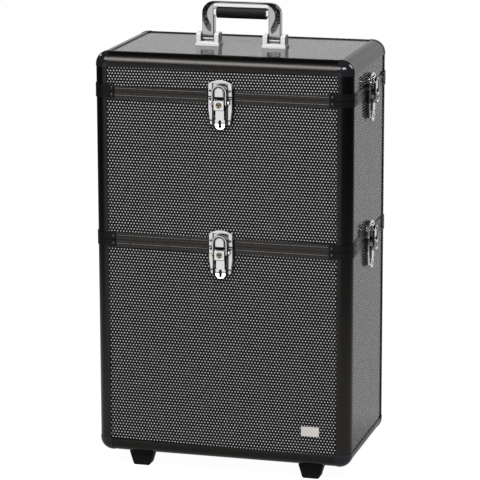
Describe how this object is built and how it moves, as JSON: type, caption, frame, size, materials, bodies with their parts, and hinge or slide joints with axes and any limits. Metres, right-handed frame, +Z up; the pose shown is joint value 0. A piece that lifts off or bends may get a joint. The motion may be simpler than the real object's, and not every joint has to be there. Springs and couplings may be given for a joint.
{
  "type": "beauty case",
  "caption": "Two-piece wheeled beauty case with a hinged lid, a lift-off upper case, draw latches at both seams, a folding carry handle and a telescopic pull handle.",
  "frame": {"origin": "on the floor under the middle of the whole object's box", "axes": "+Z up, the front with the badge faces -Y, +X to the right seen from the front"},
  "size_m": [0.401, 0.26, 0.6725],
  "materials": {
    "badge": "pale silver, bare",
    "button": "dark grey",
    "clip": "black enamel",
    "corner": "gloss black",
    "edge": "black anodised, satin",
    "grip": "soft black",
    "handle": "bright plated",
    "hub": "dark grey",
    "latch": "bright plated",
    "lining": "black woven lining",
    "lock": "polished brass",
    "panel": "black sheet with a close pattern of pale grey dots under a clear gloss surface",
    "plastic": "black moulded plastic",
    "rim": "dark grey anodised, satin",
    "rivet": "bright steel",
    "tube": "satin silver",
    "tyre": "black rubber"
  },
  "bodies": {
    "lower_case": {"lower_panels": "panel", "lower_frame": "edge", "lower_rim": "rim", "lower_ball_corners": "corner", "lower_corner_clips": "clip", "lower_lining": "lining", "lower_rivets": "rivet", "front_feet": "plastic", "wheel_housings": "plastic", "badge_plate": "badge", "mid_latch_bases": "latch", "trolley_brackets": "plastic", "trolley_outer_tubes": "tube"},
    "upper_case": {"upper_panels": "panel", "upper_frame": "edge", "upper_rims": "rim", "upper_corner_clips": "clip", "upper_lining": "lining", "upper_rivets": "rivet", "mid_latch_keepers": "latch", "lid_latch_bases": "latch", "hinge_lower_leaves": "latch"},
    "lid": {"lid_panels": "panel", "lid_frame": "edge", "lid_rim": "rim", "lid_ball_corners": "corner", "lid_corner_clips": "clip", "lid_lining": "lining", "lid_rivets": "rivet", "lid_latch_keepers": "latch", "handle_brackets": "handle", "hinge_upper_leaves": "latch"},
    "carry_handle": {"handle_frame": "handle", "handle_grip": "grip"},
    "left_wheel": {"left_tyre": "tyre", "left_hub": "hub"},
    "right_wheel": {"right_tyre": "tyre", "right_hub": "hub"},
    "pull_middle": {"trolley_mid_tubes": "tube"},
    "pull_inner": {"trolley_inner_tubes": "tube", "trolley_grip": "plastic"},
    "pull_button": {"release_button": "button"},
    "lid_front_lever": {"lid_front_lever": "latch"},
    "lid_front_bail": {"lid_front_bail": "latch"},
    "lid_front_plug": {"lid_front_plug": "lock"},
    "lid_left_lever": {"lid_left_lever": "latch"},
    "lid_left_bail": {"lid_left_bail": "latch"},
    "lid_left_plug": {"lid_left_plug": "lock"},
    "lid_right_lever": {"lid_right_lever": "latch"},
    "lid_right_bail": {"lid_right_bail": "latch"},
    "lid_right_plug": {"lid_right_plug": "lock"},
    "mid_front_lever": {"mid_front_lever": "latch"},
    "mid_front_bail": {"mid_front_bail": "latch"},
    "mid_front_plug": {"mid_front_plug": "lock"},
    "mid_left_lever": {"mid_left_lever": "latch"},
    "mid_left_bail": {"mid_left_bail": "latch"},
    "mid_left_plug": {"mid_left_plug": "lock"},
    "mid_right_lever": {"mid_right_lever": "latch"},
    "mid_right_bail": {"mid_right_bail": "latch"},
    "mid_right_plug": {"mid_right_plug": "lock"}
  },
  "joints": [
    {"name": "upper_case_lift", "type": "slide", "parent": "lower_case", "child": "upper_case", "axis": [0, 0, 1], "range_m": [0, 0.2]},
    {"name": "lid_hinge", "type": "hinge", "parent": "upper_case", "child": "lid", "pos_m": [0, 0.1145, 0.555], "axis": [-1, 0, 0], "range_deg": [0, 95]},
    {"name": "carry_handle_tilt", "type": "hinge", "parent": "lid", "child": "carry_handle", "pos_m": [0, -0.0035, 0.622], "axis": [1, 0, 0], "range_deg": [-80, 80]},
    {"name": "left_wheel_roll", "type": "hinge", "parent": "lower_case", "child": "left_wheel", "pos_m": [-0.139, 0.0945, 0.024], "axis": [1, 0, 0], "continuous": true},
    {"name": "right_wheel_roll", "type": "hinge", "parent": "lower_case", "child": "right_wheel", "pos_m": [0.139, 0.0945, 0.024], "axis": [1, 0, 0], "continuous": true},
    {"name": "pull_middle_slide", "type": "slide", "parent": "lower_case", "child": "pull_middle", "axis": [0, 0, -1], "range_m": [-0.22, 0]},
    {"name": "pull_inner_slide", "type": "slide", "parent": "pull_middle", "child": "pull_inner", "axis": [0, 0, -1], "range_m": [-0.22, 0]},
    {"name": "pull_button_press", "type": "slide", "parent": "pull_inner", "child": "pull_button", "axis": [0, 0, -1], "range_m": [0, 0.004], "stiffness_N_per_m": 400, "springref_m": -0.003},
    {"name": "lid_front_lever_turn", "type": "hinge", "parent": "upper_case", "child": "lid_front_lever", "pos_m": [0, -0.124, 0.5463], "axis": [-1, 0, 0], "range_deg": [0, 110]},
    {"name": "lid_front_bail_turn", "type": "hinge", "parent": "lid_front_lever", "child": "lid_front_bail", "pos_m": [0, -0.1219, 0.527], "axis": [-1, 0, 0], "range_deg": [-110, 0]},
    {"name": "lid_front_plug_turn", "type": "hinge", "parent": "lid_front_lever", "child": "lid_front_plug", "pos_m": [0, -0.13, 0.5435], "axis": [0, -1, 0], "range_deg": [0, 90]},
    {"name": "lid_right_lever_turn", "type": "hinge", "parent": "upper_case", "child": "lid_right_lever", "pos_m": [0.1945, -0.0035, 0.5463], "axis": [0, -1, 0], "range_deg": [0, 110]},
    {"name": "lid_right_bail_turn", "type": "hinge", "parent": "lid_right_lever", "child": "lid_right_bail", "pos_m": [0.1924, -0.0035, 0.527], "axis": [0, -1, 0], "range_deg": [-110, 0]},
    {"name": "lid_right_plug_turn", "type": "hinge", "parent": "lid_right_lever", "child": "lid_right_plug", "pos_m": [0.2005, -0.0035, 0.5435], "axis": [1, 0, 0], "range_deg": [0, 90]},
    {"name": "lid_left_lever_turn", "type": "hinge", "parent": "upper_case", "child": "lid_left_lever", "pos_m": [-0.1945, -0.0035, 0.5463], "axis": [0, 1, 0], "range_deg": [0, 110]},
    {"name": "lid_left_bail_turn", "type": "hinge", "parent": "lid_left_lever", "child": "lid_left_bail", "pos_m": [-0.1924, -0.0035, 0.527], "axis": [0, 1, 0], "range_deg": [-110, 0]},
    {"name": "lid_left_plug_turn", "type": "hinge", "parent": "lid_left_lever", "child": "lid_left_plug", "pos_m": [-0.2005, -0.0035, 0.5435], "axis": [-1, 0, 0], "range_deg": [0, 90]},
    {"name": "mid_front_lever_turn", "type": "hinge", "parent": "lower_case", "child": "mid_front_lever", "pos_m": [0, -0.124, 0.3313], "axis": [-1, 0, 0], "range_deg": [0, 110]},
    {"name": "mid_front_bail_turn", "type": "hinge", "parent": "mid_front_lever", "child": "mid_front_bail", "pos_m": [0, -0.1219, 0.312], "axis": [-1, 0, 0], "range_deg": [-110, 0]},
    {"name": "mid_front_plug_turn", "type": "hinge", "parent": "mid_front_lever", "child": "mid_front_plug", "pos_m": [0, -0.13, 0.3285], "axis": [0, -1, 0], "range_deg": [0, 90]},
    {"name": "mid_right_lever_turn", "type": "hinge", "parent": "lower_case", "child": "mid_right_lever", "pos_m": [0.1945, -0.0035, 0.3313], "axis": [0, -1, 0], "range_deg": [0, 110]},
    {"name": "mid_right_bail_turn", "type": "hinge", "parent": "mid_right_lever", "child": "mid_right_bail", "pos_m": [0.1924, -0.0035, 0.312], "axis": [0, -1, 0], "range_deg": [-110, 0]},
    {"name": "mid_right_plug_turn", "type": "hinge", "parent": "mid_right_lever", "child": "mid_right_plug", "pos_m": [0.2005, -0.0035, 0.3285], "axis": [1, 0, 0], "range_deg": [0, 90]},
    {"name": "mid_left_lever_turn", "type": "hinge", "parent": "lower_case", "child": "mid_left_lever", "pos_m": [-0.1945, -0.0035, 0.3313], "axis": [0, 1, 0], "range_deg": [0, 110]},
    {"name": "mid_left_bail_turn", "type": "hinge", "parent": "mid_left_lever", "child": "mid_left_bail", "pos_m": [-0.1924, -0.0035, 0.312], "axis": [0, 1, 0], "range_deg": [-110, 0]},
    {"name": "mid_left_plug_turn", "type": "hinge", "parent": "mid_left_lever", "child": "mid_left_plug", "pos_m": [-0.2005, -0.0035, 0.3285], "axis": [-1, 0, 0], "range_deg": [0, 90]}
  ],
  "couplings": [
    {"joint": "lid_front_bail_turn", "follows": "lid_front_lever_turn", "ratio": -1},
    {"joint": "lid_right_bail_turn", "follows": "lid_right_lever_turn", "ratio": -1},
    {"joint": "lid_left_bail_turn", "follows": "lid_left_lever_turn", "ratio": -1},
    {"joint": "mid_front_bail_turn", "follows": "mid_front_lever_turn", "ratio": -1},
    {"joint": "mid_right_bail_turn", "follows": "mid_right_lever_turn", "ratio": -1},
    {"joint": "mid_left_bail_turn", "follows": "mid_left_lever_turn", "ratio": -1}
  ]
}
